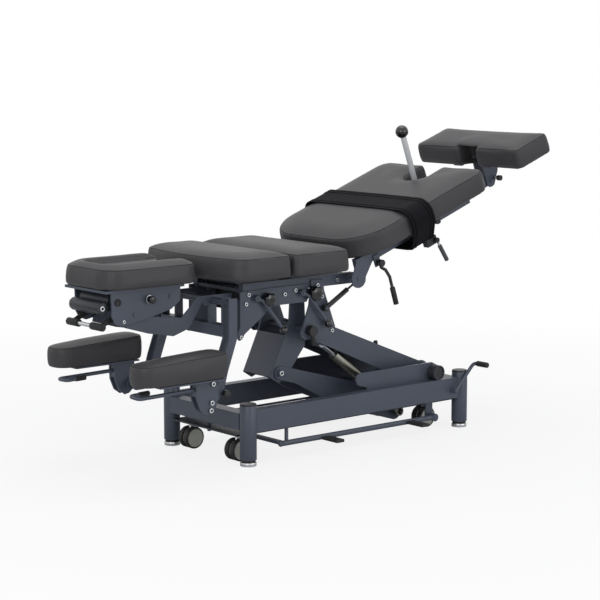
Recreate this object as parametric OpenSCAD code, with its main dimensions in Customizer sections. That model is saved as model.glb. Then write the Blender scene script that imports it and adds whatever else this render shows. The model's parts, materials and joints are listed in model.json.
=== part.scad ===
// Chiropractic flexion and drop table with a parallel-arm lift.
// Millimetres, floor at z 0, +X toward the foot end, -Y is the side with the levers.

/* [Base frame] */
// Lengthwise distance of the leg axes from the middle of the base
leg_x = 522; // [518:1:526]
// Sideways distance of the leg axes from the middle
leg_y = 225.5; // [225:0.5:226]
// Outside diameter of the legs
leg_d = 60; // [56:1:62]
// Height of the leg caps above the floor
leg_top = 222; // [218:1:226]
// Underside of the side rails above the floor
rail_z = 118; // [116:1:120]
// Height of the side rails
rail_h = 80; // [76:1:80]
// Wall of the hollow side rails
rail_wall = 4; // [3:0.5:5]

/* [Lift] */
// Diameter of the upper lift shaft
upper_shaft_d = 25; // [20:1:26]
// Diameter of the lower lift shaft
lower_shaft_d = 20; // [16:1:22]
// Plate thickness of the upper arm
upper_plate = 6; // [4:0.5:6]
// Plate thickness of the lower arm
lower_plate = 5; // [4:0.5:5]
// Diameter of the actuator tube
actuator_d = 40; // [34:1:40]
// Diameter of the actuator rod
actuator_rod_d = 22; // [16:1:24]

/* [Cushions] */
// Half width of the chest and lumbar cushions
seat_half_w = 296; // [285:1:298]
// Height of the cushions up to their seam
seat_h = 78; // [70:1:80]
// Crown of the seat cushions above the seam
seat_crown = 17; // [8:1:18]
// Half width of the headpiece
head_half_w = 165; // [155:1:168]
// Half width of the foot cushion
foot_half_w = 288; // [275:1:292]
// Height of the foot cushion up to its seam
foot_h = 78; // [70:1:82]
// Depth of the notch in the foot cushion
foot_notch = 86; // [60:1:92]
// Height of the armrest cushions up to their seam
armrest_h = 70; // [62:1:74]
// How much thicker the armrest cushions are at their foot end
armrest_rise = 16; // [0:1:20]
// Gap between the strap and the leg cushion
strap_gap = 0.4; // [0.3:0.1:0.6]
// Thickness of the strap
strap_t = 3; // [2:0.5:3.5]

/* [Fittings] */
// Wheel diameter of the castors
wheel_d = 80; // [76:1:80]
// Diameter of the flexion stick
stick_d = 22; // [18:1:24]
// Diameter of the stick's ball
stick_ball_d = 50; // [44:1:52]
// Diameter of the balls on the cocking levers
ball_d = 32; // [26:1:33]
// Radial clearance of pins that turn or slide
fit = 0.05; // [0.03:0.01:0.08]

/* [Hidden] */
$fn = 48;

// The whole table is moved along X so that its middle is on the origin.
base_x = 57;
rail_top = rail_z + rail_h;
rail_in = 204;
rail_out = 244;

// Pivots of the lift, as x and z.
arm_rise = 20.3;
arm_len = 610;
pivot_a = [395, 226];
pivot_c = [308, 69.4];
pivot_e = [pivot_a[0] - arm_len * cos(arm_rise), pivot_a[1] + arm_len * sin(arm_rise)];
pivot_d = [pivot_c[0] - arm_len * cos(arm_rise), pivot_c[1] + arm_len * sin(arm_rise)];

function arm_point(base, a, p) = [base[0] - a * cos(arm_rise) + p * sin(arm_rise),
    base[1] + a * sin(arm_rise) + p * cos(arm_rise)];

// Rod pin on the upper arm, this far before its end and this far under its line.
rod_pin_back = 103.084;
rod_pin_down = 27.58;
pivot_g = arm_point(pivot_a, arm_len - rod_pin_back, -rod_pin_down);
act_y = -112;
act_v = pivot_c - pivot_g;
act_len = norm(act_v);
act_dir = act_v / act_len;
act_tilt = atan2(-act_v[1], act_v[0]);

// The leg hinge lies this far out and up from the upper shaft, which carries the upper frame.
hinge_out = 183.112;
hinge_up = 179.369;
pivot_h = pivot_e + [hinge_out, hinge_up];
leg_rise = 20.3;

// The upper frame is drawn with its leg hinge at x 6, z 617; these are its places in that drawing.
shaft_e = [6, 617] - [hinge_out, hinge_up];
shaft_d = shaft_e + pivot_c - pivot_a;
strut_out = 34;
strut_down = 13;
strut_s = shaft_e + [62.112, 77.369];
strut_e = [6 + strut_out, 617 - strut_down];
strut_y = 170;
strut_v = strut_e - strut_s;
strut_len = norm(strut_v);
strut_tilt = atan2(-strut_v[1], strut_v[0]);
head_pivot = [-863, 610];
ear_pivot = [-711, 254];
handle_pivot = [-985, 556];
chest_pivot = [-430, 578];
lumbar_pivot = [-220, 580];
chest_knob_at = [-379, 570];
lumbar_knob_at = [-163, 573];
plate_out = 151;

// Leg section, measured from the hinge along and square to its slope.
leg_v = 70;
leg_end = 688;
stick_back = 122;
stick_u = leg_end - stick_back;
strap_u0 = 240;
strap_u1 = 355;
buckle_in = 10;
foot_gap = 242;
foot_hinge = [leg_end + foot_gap, -22];
foot_v = 148 - foot_h;
release_at = [106, 17];
buckle_at = [strap_u1 + buckle_in, -4];
plunger_at = [foot_hinge[0] + 22, -14];

// Castors.
castor_y = 136;
castor_x = [-483, -483, 433, 433];
castor_side = [-1, 1, -1, 1];
trail = 18;
axle_z = wheel_d / 2;

module placed() {
    translate([base_x, 0, 0]) children();
}

module deck() {
    translate([base_x + pivot_h[0] - 6, 0, pivot_h[1] - 617]) children();
}

module both() {
    children();
    mirror([0, 1, 0]) children();
}

// Plate cut to an outline in X and Z, standing between y0 and y1.
module plate(points, y0, y1) {
    translate([0, y1, 0]) rotate([90, 0, 0]) linear_extrude(y1 - y0) polygon(points);
}

// Round bar along Y.
module bar(at, y0, y1, d) {
    translate([at[0], y0, at[1]]) rotate([-90, 0, 0]) cylinder(h = y1 - y0, d = d);
}

// Round bar between two points.
module rod(a, b, d) {
    v = b - a;
    translate(a) rotate([0, acos(v[2] / norm(v)), atan2(v[1], v[0])]) cylinder(h = norm(v), d = d);
}

// Ring along Y.
module ring(at, y0, y1, d, hole) {
    difference() {
        bar(at, y0, y1, d);
        bar(at, y0 - 1, y1 + 1, hole);
    }
}

module leg_frame() {
    translate([pivot_h[0], 0, pivot_h[1]]) rotate([0, -leg_rise, 0]) children();
}

// Points of a lift arm: a along the arm from its base pivot, p square to it.
function arm_points(base, list) = [for (q = list) arm_point(base, q[0], q[1])];

// One arc of a cushion outline, drawn in by d: centre, radius, from, to, steps, bulge, corner.
function arc_points(a, d) =
    let (over = a[6] > 0 ? max(0, d - a[2] + 2) : 0)
    let (r = a[6] > 0 ? max(a[2] - d, 2) : a[2] + d)
    [for (i = [0:a[5]])
        let (t = a[3] + (a[4] - a[3]) * i / a[5])
        [a[0] - over * a[7] + r * cos(t), a[1] - over * a[8] + r * sin(t)]];

function outline(arcs, d) = [for (a = arcs) each arc_points(a, d)];

// Rounded rectangle as four corner arcs.
function box_arcs(x0, x1, y0, y1, r0, r1) = [
    [x1 - r1, y0 + r1, r1, -90, 0, 5, 1, 1, -1],
    [x1 - r1, y1 - r1, r1, 0, 90, 5, 1, 1, 1],
    [x0 + r0, y1 - r0, r0, 90, 180, 5, 1, -1, 1],
    [x0 + r0, y0 + r0, r0, 180, 270, 5, 1, -1, -1]];

// Heights and draw-in of a stuffed cushion: sides tucked in below, soft edge, crown.
function soft_layers(h, crown, reach) = [
    [0, 9], [7, 3], [25, 0], [h - 18, 0], [h - 6, 1.5], [h, 3.5],
    [h + crown * 0.25, 6], [h + crown * 0.5, 6 + reach * 0.13], [h + crown * 0.76, 6 + reach * 0.36],
    [h + crown * 0.93, 6 + reach * 0.65], [h + crown, 6 + reach]];

// A block that thickens by rise for each millimetre from x0 has triangles for sides.
module soft_block(arcs, layers, rise = 0, x0 = 0) {
    rings = [for (l = layers) [for (p = outline(arcs, l[1]))
        [p[0], p[1], l[0] * (1 + rise * (p[0] - x0))]]];
    n = len(rings[0]);
    m = len(rings);
    sides = [for (k = [0:m - 2]) for (i = [0:n - 1])
        let (j = (i + 1) % n)
        each rise == 0 ? [[k * n + i, (k + 1) * n + i, (k + 1) * n + j, k * n + j]] :
            [[k * n + i, (k + 1) * n + i, (k + 1) * n + j], [k * n + i, (k + 1) * n + j, k * n + j]]];
    bottom = [for (i = [0:n - 1]) i];
    top = [for (i = [0:n - 1]) m * n - 1 - i];
    polyhedron([for (r = rings) each r], concat([bottom], sides, [top]), convexity = 6);
}

// Base frame.
module leg_shapes(d, z0, z1) {
    for (x = [-leg_x, leg_x]) {
        for (y = [-leg_y, leg_y]) {
            translate([x, y, z0]) cylinder(h = z1 - z0, d = d);
        }
    }
}

module side_rail() {
    crank_at = [464, 151];
    difference() {
        union() {
            difference() {
                translate([-515, -rail_out, rail_z]) cube([1030, rail_out - rail_in, rail_h]);
                translate([-516, -rail_out + rail_wall, rail_z + rail_wall])
                    cube([1032, rail_out - rail_in - 2 * rail_wall, rail_h - 2 * rail_wall]);
            }
            plate([[355, rail_z], [391, rail_z], [391, 56], [355, 56]], -212, -206);
            bar([373, 56], -212, -206, 36);
            bar([373, 56], -250, -212, 12);
        }
        leg_shapes(leg_d, 0, leg_top);
        bar(pivot_a, -rail_out - 1, -rail_in + 1, 57);
        translate([-350, -226, rail_z - 1]) cylinder(h = rail_wall + 2, d = 30);
    }
}

module side_rails() {
    color("#3f4654") placed() {
        difference() {
            side_rail();
            bar([464, 151], -rail_out - 1, -rail_in + 1, 20 + 2 * fit);
        }
        mirror([0, 1, 0]) side_rail();
    }
}

module cross_rail(x) {
    difference() {
        translate([x - 25, -rail_in, 127]) cube([50, 2 * rail_in, 60]);
        leg_shapes(leg_d, 0, leg_top);
    }
    translate([x, 0, 88]) cylinder(h = 40, d = 14);
}

module cross_rails() {
    color("#3a404d") placed() {
        cross_rail(-leg_x);
        cross_rail(leg_x);
        difference() {
            union() {
                translate([310, -rail_in, 124]) cube([40, 2 * rail_in, 36]);
                both() plate([[312, 150], [345, 150], [324, 69.4], [292, 69.4]], 95, 103);
                both() bar(pivot_c, 95, 103, 32);
            }
            bar(pivot_c, -110, 110, lower_shaft_d);
        }
    }
}

module legs() {
    color("#3f4654") placed() difference() {
        leg_shapes(leg_d, 22, leg_top - 6);
        leg_shapes(16, 21, 60);
        leg_shapes(leg_d - 10, leg_top - 14, leg_top);
    }
}

module leg_caps() {
    color("#1c1e22") placed() {
        leg_shapes(leg_d - 0.6, leg_top - 6, leg_top - 1.5);
        leg_shapes(leg_d - 5, leg_top - 1.5, leg_top);
        leg_shapes(leg_d - 10, leg_top - 12, leg_top - 6);
    }
}

module leg_feet() {
    color("#b9bdc3") placed() {
        leg_shapes(leg_d - 2, 0, 13);
        leg_shapes(leg_d - 8, 13, 22);
        leg_shapes(16, 22, 58);
    }
}

module lift_bracket() {
    difference() {
        union() {
            plate([[60, 160], [420, 160], [430, 226], [420, 250], [395, 262], [22, 262],
                [8, 252], [5, 236], [12, 220], [26, 213], [60, 206]], rail_in - 8, rail_in);
            bar(pivot_a, 145, rail_out, 57);
        }
        bar(pivot_a, 140, rail_out - 5, upper_shaft_d);
        bar(pivot_a, rail_out - 5, rail_out + 1, 46);
    }
}

module lift_brackets() {
    color("#3f4654") placed() both() lift_bracket();
}

module lift_shafts() {
    color("#a8adb4") placed() {
        bar(pivot_a, -rail_out + 5, rail_out - 5, upper_shaft_d);
        bar(pivot_c, -103, 106, lower_shaft_d);
        bar(pivot_c, -126, -103, 12);
    }
}

// Lift.
module upper_side() {
    n = arm_len;
    list = [[-20, 20], [0, 32], [32, 30], [n - 119, 43], [n - 10, 30], [n + 2, 26], [n + 2, -26],
        [n - 10, -28], [n - 110, -32], [194, -50], [60, -53], [0, -36], [-20, -28]];
    difference() {
        union() {
            plate(arm_points(pivot_a, list), 143 - upper_plate, 143);
            bar(pivot_a, 143 - upper_plate, 143, 72);
            bar(pivot_e, 143 - upper_plate, 143, 60);
        }
        bar(pivot_a, 100, 150, upper_shaft_d + 2 * fit);
    }
}

module upper_arm() {
    n = arm_len;
    web = [[36, 24], [n - 130, 36.7], [n - 130, 42.6], [36, 30]];
    clevis = [[n - 124, 38], [n - 120, -34], [n - 90, -42], [n - 84, -16], [n - 102, 10], [n - 110, 38]];
    clevis_end = [[n - 150, 38], [n - 150, -50], [n - 70, -50], [n - 70, 40]];
    color("#3f4654") placed() {
        difference() {
            union() {
                both() upper_side();
                plate(arm_points(pivot_a, web), -143 + upper_plate, 143 - upper_plate);
                intersection() {
                    plate(arm_points(pivot_a, clevis), act_y + 14, act_y + 20);
                    plate(arm_points(pivot_a, clevis_end), -143, 143);
                }
            }
        }
        bar(pivot_e, -156, 156, upper_shaft_d);
        bar(pivot_g, -143 + upper_plate, act_y + 14, 14);
    }
}

module lower_side() {
    n = arm_len;
    list = [[-24, -24], [0, -36], [145, -44], [n - 210, -34], [n - 90, -18], [n + 2, -24], [n + 2, 24],
        [n - 43, 29.6], [227, 57], [60, 44], [0, 36], [-24, 24]];
    difference() {
        union() {
            plate(arm_points(pivot_c, list), 83, 83 + lower_plate);
            bar(pivot_c, 83, 83 + lower_plate, 72);
            bar(pivot_d, 83, 83 + lower_plate, 46);
        }
        bar(pivot_c, 70, 100, lower_shaft_d + 2 * fit);
        bar(pivot_d, 70, 100, 22);
    }
}

module lower_arm() {
    n = arm_len - 170;
    web = [[90, 40], [227, 51], [n, 33.8], [n, 39.6], [227, 57], [90, 46]];
    color("#343a46") placed() {
        both() lower_side();
        plate(arm_points(pivot_c, web), -83, 83);
    }
}

// Local frame of the actuator: x along its line from the rod eye.
module actuator_frame() {
    translate([pivot_g[0], act_y, pivot_g[1]]) rotate([0, act_tilt, 0]) children();
}

module actuator_rod() {
    color("#d7dade") placed() actuator_frame() difference() {
        union() {
            bar([0, 0], -11, 11, 30);
            rod([12, 0, 0], [300, 0, 0], actuator_rod_d);
        }
        bar([0, 0], -14, 14, 14 + 2 * fit);
    }
}

module actuator_body() {
    color("#c9cdd2") placed() actuator_frame() difference() {
        union() {
            rod([80, 0, 0], [act_len - 54.4, 0, 0], actuator_d);
            translate([act_len - 62.4, -8, -12]) cube([62.4, 16, 24]);
            bar([act_len, 0], -8, 8, 36);
        }
        rod([79, 0, 0], [act_len - 102.4, 0, 0], actuator_rod_d + 2 * fit);
        bar([act_len, 0], -10, 10, 24);
    }
}

// Upper frame. Outlines under z 500 keep their place to the upper shaft, drawn at x -177.112, z 437.631.
function hung(list) = [for (q = list) q[1] < 500 ? q + shaft_e - [-177.112, 437.631] : q];

module link_side() {
    list = [[-302, 268], [-232, 416], [-214, 470], [-206, 592], [-144, 592], [-138, 480], [-138, 371],
        [-232, 256], [-264, 244]];
    difference() {
        union() {
            plate(hung(list), 75, 81);
            bar(shaft_d, 75, 81, 54);
        }
        bar(shaft_e, 70, 90, upper_shaft_d + 2 * fit);
    }
}

module lift_link() {
    color("#3a404d") deck() {
        both() link_side();
        plate(hung([[-302, 270], [-232, 416], [-226, 414], [-296, 268]]), -75, 75);
        plate(hung([[-138, 371], [-232, 258], [-236, 262], [-144, 374]]), -75, 75);
        plate([[-206, 592], [-144, 592], [-144, 586], [-206, 586]], -75, 75);
        bar(shaft_d, -75, 75, 45);
        bar(shaft_d, -95, 95, 20);
        both() bar(shaft_d, 89.5, 96, 26);
    }
}

module link_plate() {
    list = [[-168, 621], [-111, 618], [-106, 579], [-52, 440], [-58, 420], [-78, 402], [-105, 398],
        [-160, 402], [-197, 404], [-213, 415], [-216, 434], [-200, 470], [-178, 530]];
    difference() {
        plate(hung(list), plate_out - 6, plate_out);
        bar(shaft_e, 140, 160, upper_shaft_d + 2 * fit);
    }
    bar(strut_s, plate_out, 181, 12);
}

module link_plates() {
    color("#3f4654") deck() both() link_plate();
}

module hose_elbow() {
    color("#1c1e22") deck() {
        ring(shaft_e, -166, -plate_out, 38, upper_shaft_d + 4);
        bar(shaft_e, -178, -166, 38);
        rod([shaft_e[0], -168, shaft_e[1]], [shaft_e[0] + 6, -168, shaft_e[1] - 53.6], 18);
    }
}

module top_rail() {
    translate([-480, 120, 592]) cube([526, 25, 40]);
    bar([6, 617], 145, 218, 16);
}

module top_rails() {
    color("#3f4654") deck() {
        both() top_rail();
        difference() {
            union() {
                translate([-476, -120, 600]) cube([42, 240, 12]);
                translate([-268, -120, 600]) cube([56, 240, 12]);
            }
            for (y = [-95, 95]) {
                translate([-455, y, 590]) cylinder(h = 30, d = 16 + 2 * fit);
                translate([-240, y, 590]) cylinder(h = 30, d = 16 + 2 * fit);
            }
        }
        translate([-206, -120, 592]) cube([62, 240, 40]);
        translate([10, -120, 597]) cube([30, 240, 30]);
    }
}

module drop_bracket() {
    plate([[-496, 604], [-347, 608], [-180, 608], [-182, 556], [-190, 543], [-347, 543], [-478, 452],
        [-486, 436], [-500, 432], [-508, 442], [-506, 458], [-497, 480]], -plate_out, -145);
    translate([-496, -145, 440]) cube([6, 105, 135]);
    bar(chest_pivot, -176, -plate_out, 10);
    bar(lumbar_pivot, -176, -plate_out, 10);
    bar(chest_knob_at, -180, -plate_out, 10);
}

module rear_bracket() {
    plate([[-496, 604], [-347, 608], [-180, 608], [-182, 556], [-190, 543], [-347, 543], [-478, 452],
        [-486, 436], [-500, 432], [-508, 442], [-506, 458], [-497, 480]], 145, plate_out);
    translate([-496, 40, 440]) cube([6, 105, 135]);
}

module drop_brackets() {
    color("#3a404d") deck() {
        drop_bracket();
        rear_bracket();
    }
}

module hanger(y0, y1) {
    list = [[-598, 597], [-562, 597], [-562, 457], [-602, 349], [-622, 281], [-645, 248], [-680, 234],
        [-711, 234], [-711, 274], [-676, 272], [-655, 285], [-638, 349], [-598, 457]];
    difference() {
        union() {
            plate(list, y0, y1);
            bar(ear_pivot, y0, y1, 40);
        }
        bar(ear_pivot, y0 - 1, y1 + 1, 16 + 2 * fit);
    }
}

module armrest_beam() {
    color("#3f4654") deck() {
        translate([-600, -177, 460]) cube([40, 354, 40]);
        bar([-580, 579], -212, 212, 25);
        both() hanger(177, 183);
        both() hanger(212, 218);
    }
}

module control_box() {
    color("#22252b") deck() {
        translate([-425, -85, 520]) cube([110, 170, 68]);
        translate([-425, -140, 588]) cube([135, 280, 4]);
    }
}

module carrier_side() {
    list = [[-496, 562], [-496, 598], [-640, 598], [-716, 530], [-838, 545], [-843, 610], [-883, 610],
        [-890, 548], [-945, 538], [-951, 517], [-857, 489], [-751, 469], [-686, 489], [-626, 575],
        [-612, 562]];
    difference() {
        union() {
            plate(list, 96, 102);
            plate([[-597, 500], [-563, 500], [-563, 566], [-597, 566]], 96, 102);
            bar(head_pivot, 96, 102, 40);
        }
        bar([-580, 579], 90, 110, 25);
    }
    bar(head_pivot, 102, 118, 12);
}

module head_carrier() {
    color("#3f4654") deck() {
        both() carrier_side();
        bar(head_pivot, -142, -110, 12);
    }
}

module frame_bolts() {
    spots = [[-460, 592], [-472, 560], [-244, 590], [-295, 580], [-495, 444], [-119, 557],
        shaft_e + [107, -11], [-140, 600]];
    color("#b9bdc3") deck() both() {
        for (s = spots) {
            bar(s, plate_out, plate_out + 6, 14);
        }
        for (x = [-40, 24]) {
            bar([x, 611], 145, plate_out + 1, 14);
        }
    }
}

// Head section.
module head_side() {
    list = [[-1015, 631], [-1015, 643], [-728, 643], [-728, 594], [-767, 567], [-856, 547], [-972, 525],
        [-998, 536], [-1012, 559]];
    difference() {
        plate(list, 106, 112);
        bar(head_pivot, 100, 120, 12 + 2 * fit);
    }
    bar(handle_pivot, 78, 106, 10);
    bar([-920, 560], 112, 116, 16);
    bar([-770, 612], 112, 116, 16);
}

module head_plates() {
    color("#3f4654") deck() {
        both() head_side();
        translate([-1045, -125, 643]) cube([325, 250, 9]);
    }
}

module head_cushion() {
    arcs = box_arcs(-1060, -667, -head_half_w, head_half_w, 85, 60);
    groove = box_arcs(-1008, -582, -92, 92, 40, 20);
    color("#57565a") deck() translate([0, 0, 652]) difference() {
        soft_block(arcs, soft_layers(68, 17, 60));
        translate([0, 0, 77]) linear_extrude(20) polygon(outline(groove, 0));
    }
}

module head_pad_bar() {
    color("#1c1e22") deck() {
        bar([-1038, 590], -85, 85, 32);
        bar([-984, 609], -85, 85, 56);
        both() plate([[-1050, 578], [-1050, 602], [-988, 602], [-988, 582]], 85, 90);
        both() translate([-1006, 90, 584]) cube([16, 16, 16]);
    }
}

module head_knob() {
    color("#1c1e22") deck() ring(head_pivot, -140, -116, 30, 12 + 2 * fit);
}

module head_handle() {
    bar_at = [-1045, 528];
    color("#1c1e22") deck() {
        bar(bar_at, -101, 101, 14);
        both() bar(bar_at, 40, 103, 26);
        both() difference() {
            union() {
                plate([[-985, 566], [-1046, 534], [-1042, 522], [-981, 546]], 80, 88);
                bar(handle_pivot, 80, 88, 22);
            }
            bar(handle_pivot, 78, 90, 10 + 2 * fit);
            bar(bar_at, 70, 95, 20);
        }
    }
}

// Chest and lumbar sections.
module chest_cushion() {
    w = seat_half_w;
    arcs = [[-394, -w + 30, 30, -90, 0, 5, 1, 1, -1], [-394, w - 30, 30, 0, 90, 5, 1, 1, 1],
        [-546, w - 70, 70, 90, 166.4, 7, 1, -1, 1], [415, 0, 1057, 166.9, 193.1, 8, 1, 0, 0],
        [-546, -w + 70, 70, 193.6, 270, 7, 1, -1, -1]];
    color("#57565a") deck() translate([0, 0, 657]) soft_block(arcs, soft_layers(seat_h, seat_crown, 90));
}

module board(x0, x1, pin_x) {
    translate([x0, -230, 649]) cube([x1 - x0, 460, 8]);
    for (y = [-95, 95]) {
        translate([pin_x, y, 580]) cylinder(h = 70, d = 16);
    }
}

module chest_board() {
    color("#2a2d33") deck() board(-578, -386, -455);
}

module lever(pivot, tip) {
    y = -162;
    root = pivot + 9 * (tip - pivot) / norm(tip - pivot);
    color("#c2c6cb") deck() {
        ring(pivot, -171, -plate_out - 0.5, 24, 10 + 2 * fit);
        rod([root[0], y, root[1]], [tip[0], y - 10, tip[1]], 10);
        translate([tip[0], y - 10, tip[1]]) sphere(d = ball_d);
    }
}

module chest_lever() {
    lever(chest_pivot, [-314, 454]);
}

module lumbar_lever() {
    lever(lumbar_pivot, [-103, 457]);
}

module chest_knob() {
    color("#1c1e22") deck() ring(chest_knob_at, -178, -plate_out - 0.5, 48, 10 + 2 * fit);
}

module lumbar_cushion() {
    w = seat_half_w - 4;
    arcs = box_arcs(-358, -80, -w, w, 30, 44);
    color("#57565a") deck() translate([0, 0, 657]) soft_block(arcs, soft_layers(seat_h, seat_crown, 90));
}

module lumbar_board() {
    color("#2a2d33") deck() board(-336, -110, -240);
}

module lumbar_knob() {
    color("#1c1e22") deck() ring(lumbar_knob_at, -180, -plate_out - 0.5, 56, 10 + 2 * fit);
}

// Leg section.
module leg_side(y0) {
    quadrant = [[-24, 22], [-12, 30], [12, 70], [84, 70], [84, 34], [30, -10]];
    translate([12, 190, 30]) cube([leg_end - 72, 20, 40]);
    difference() {
        union() {
            plate(quadrant, 210, 216);
            bar([0, 0], 210, 216, 68);
        }
        bar([0, 0], 205, 220, 16 + 2 * fit);
    }
    plate([[16, 50], [48, 50], [48, -36], [24, -36], [16, -20]], 184, 190);
}

module leg_rails() {
    end_u = strut_out * cos(leg_rise) - strut_down * sin(leg_rise);
    end_v = -strut_out * sin(leg_rise) - strut_down * cos(leg_rise);
    color("#3f4654") placed() leg_frame() {
        both() leg_side();
        both() bar([end_u, end_v], 162, 184, 8);
        for (u = [84, 300]) {
            translate([u, -190, 42]) cube([34, 380, 20]);
        }
        difference() {
            union() {
                translate([stick_u - 42, -190, 50]) cube([88, 380, 14]);
                translate([stick_u - 20, -20, -37]) cube([44, 40, 90]);
                translate([stick_u - 20, -20, -37]) cube([foot_hinge[0] - stick_u + 20, 40, 30]);
                bar(foot_hinge, -20, 20, 40);
            }
            bar(foot_hinge, -21, 21, 14 + 2 * fit);
            translate([stick_u, 0, 30]) cylinder(h = 40, d = 14);
        }
        translate([92, -216, 4]) cube([28, 6, 44]);
        bar(release_at, -230, -216, 8);
        bar(release_at, -242, -230, 26);
        bar([426, 44], -234, -210, 24);
        translate([460, -200, 20]) cylinder(h = 12, d = 12);
    }
}

module leg_cushion() {
    w = 293;
    e = leg_end;
    arcs = [[e - 60, -w + 60, 60, -90, 0, 6, 1, 1, -1], [e - 18, -66, 18, 0, 90, 4, 1, 1, 1],
        [stick_u + 22, 0, 48, -90, -270, 10, -1, 0, 0], [e - 18, 66, 18, -90, 0, 4, 1, 1, -1],
        [e - 60, w - 60, 60, 0, 90, 6, 1, 1, 1], [165, w - 180, 180, 90, 180, 10, 1, -1, 1],
        [165, -w + 180, 180, 180, 270, 10, 1, -1, -1]];
    color("#57565a") placed() leg_frame() translate([0, 0, leg_v])
        soft_block(arcs, soft_layers(seat_h, seat_crown, 85));
}

// Cross section of the leg cushion under the strap, grown by g.
module strap_section(g) {
    rows = soft_layers(seat_h, seat_crown, 85);
    n = len(rows);
    right = [for (i = [2:n - 1]) [293 - rows[i][1], leg_v + rows[i][0]]];
    left = [for (i = [0:n - 3]) [-right[n - 3 - i][0], right[n - 3 - i][1]]];
    offset(delta = g) polygon(concat(right, left));
}

module leg_strap() {
    g = strap_gap;
    t = strap_t;
    s = 293 + g;
    inner = [[s, 96], [s, 82], [s - 2.4, 77], [s - 8.4, 69], [262, 18]];
    outer = [[264.5, 18 - t], [s - 8.4 + t, 67.5], [s - 2.4 + t, 75.5], [s + t, 81], [s + t, 96]];
    loop = concat(inner, [for (i = [4:-1:0]) [-inner[i][0], inner[i][1]]],
        [for (i = [4:-1:0]) [-outer[i][0], outer[i][1]]], outer);
    color("#1d1c20") placed() leg_frame() translate([strap_u0, 0, 0]) rotate([90, 0, 90])
        linear_extrude(strap_u1 - strap_u0) {
            difference() {
                strap_section(g + t);
                strap_section(g);
                translate([-400, 0]) square([800, 95.5]);
            }
            polygon(loop);
        }
}

module strap_buckle() {
    color("#1c1e22") placed() leg_frame() {
        translate([buckle_at[0] - 43, -262, -17]) cube([50, 26, 35 - strap_t]);
        bar(buckle_at, -278, -262, 6);
    }
}

module strap_lever() {
    tip = buckle_at + [23, -90];
    root = buckle_at + 7 * (tip - buckle_at) / norm(tip - buckle_at);
    color("#85888d") placed() leg_frame() {
        ring(buckle_at, -274.5, -262.5, 20, 6 + 2 * fit);
        rod([root[0], -268.5, root[1]], [tip[0], -268.5, tip[1]], 10);
    }
}

module flexion_stick() {
    color("#eceef0") placed() leg_frame() translate([stick_u, 0, 0]) {
        translate([0, 0, 32]) cylinder(h = 33, d = 14);
        translate([0, 0, 64]) cylinder(h = 260, d = stick_d);
        translate([0, 0, 348 - 8]) sphere(d = stick_ball_d);
    }
}

module release_lever() {
    path = [release_at, [110, -4], [126, -22], [136, -54], [132, -164]];
    y = -223.2;
    color("#1c1e22") placed() leg_frame() {
        difference() {
            union() {
                bar(release_at, -228, -216.5, 22);
                for (i = [0:3]) {
                    rod([path[i][0], y, path[i][1]], [path[i + 1][0], y, path[i + 1][1]], 12);
                }
                for (i = [1:3]) {
                    translate([path[i][0], y, path[i][1]]) sphere(d = 12.6);
                }
                rod([134.4, y, -98], [132, y, -164], 20);
            }
            bar(release_at, -232, -212, 8 + 2 * fit);
        }
    }
}

// Local frame of a strut: x along its line from the lower eye.
module strut_frame() {
    translate([strut_s[0], 0, strut_s[1]]) rotate([0, strut_tilt, 0]) children();
}

module strut_tubes() {
    color("#22252b") deck() both() strut_frame() difference() {
        union() {
            bar([0, 0], strut_y - 9, strut_y + 9, 24);
            rod([8, strut_y, 0], [120, strut_y, 0], 18);
        }
        bar([0, 0], strut_y - 12, strut_y + 12, 12 + 2 * fit);
        rod([30, strut_y, 0], [121, strut_y, 0], 8 + 2 * fit);
    }
}

module strut_rods() {
    color("#c2c6cb") deck() both() strut_frame() difference() {
        union() {
            bar([strut_len, 0], strut_y - 5, strut_y + 5, 18);
            rod([60, strut_y, 0], [strut_len - 6, strut_y, 0], 8);
        }
        bar([strut_len, 0], strut_y - 7, strut_y + 7, 10.8);
    }
}

// Foot section.
module foot_cushion() {
    w = foot_half_w;
    r = 30;
    a = foot_hinge[0] - 77;
    b = foot_hinge[0] + 127;
    n = a + foot_notch - 20;
    arcs = [[b - r, -w + r, r, -90, 0, 5, 1, 1, -1], [b - r, w - r, r, 0, 90, 5, 1, 1, 1],
        [a + r, w - r, r, 90, 180, 5, 1, -1, 1], [a + 20, 65, 20, 180, 270, 4, 1, -1, -1],
        [n, 25, 20, 90, 0, 4, -1, 0, 0], [n, -25, 20, 0, -90, 4, -1, 0, 0],
        [a + 20, -65, 20, 90, 180, 4, 1, -1, 1], [a + r, -w + r, r, 180, 270, 5, 1, -1, -1]];
    color("#57565a") placed() leg_frame() translate([0, 0, foot_v])
        soft_block(arcs, soft_layers(foot_h, 8, 14));
}

module foot_bracket() {
    f = foot_hinge[0];
    cheek = [[f - 20, foot_v - 4], [f + 72, foot_v - 4], [f + 50, 6], [f + 14, -42], [f - 12, -42],
        [f - 22, -22]];
    color("#59606e") placed() leg_frame() {
        difference() {
            translate([f - 56, -100, foot_v - 6]) cube([160, 200, 6]);
            translate([f - 57, -54, foot_v - 7]) cube([foot_notch - 20, 108, 8]);
        }
        difference() {
            both() {
                plate(cheek, 21, 28);
                bar(foot_hinge, 21, 28, 44);
            }
            bar(plunger_at, -30, -20, 8 + 2 * fit);
        }
        bar(foot_hinge, -33, 33, 14);
    }
}

module foot_plunger() {
    color("#c2c6cb") placed() leg_frame() {
        bar(plunger_at, -50, -21, 8);
        bar(plunger_at, -64, -50, 22);
        bar(plunger_at, -40, -30, 14);
    }
}

// Armrests, drawn on the rear side.
module armrest_cushion() {
    x0 = -1030;
    x1 = -654;
    arcs = box_arcs(x0, x1, 190, 314, 55, 45);
    color("#57565a") deck() translate([0, 0, 340])
        soft_block(arcs, soft_layers(armrest_h, 12, 48), armrest_rise / armrest_h / (x1 - x0), x0);
}

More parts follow.
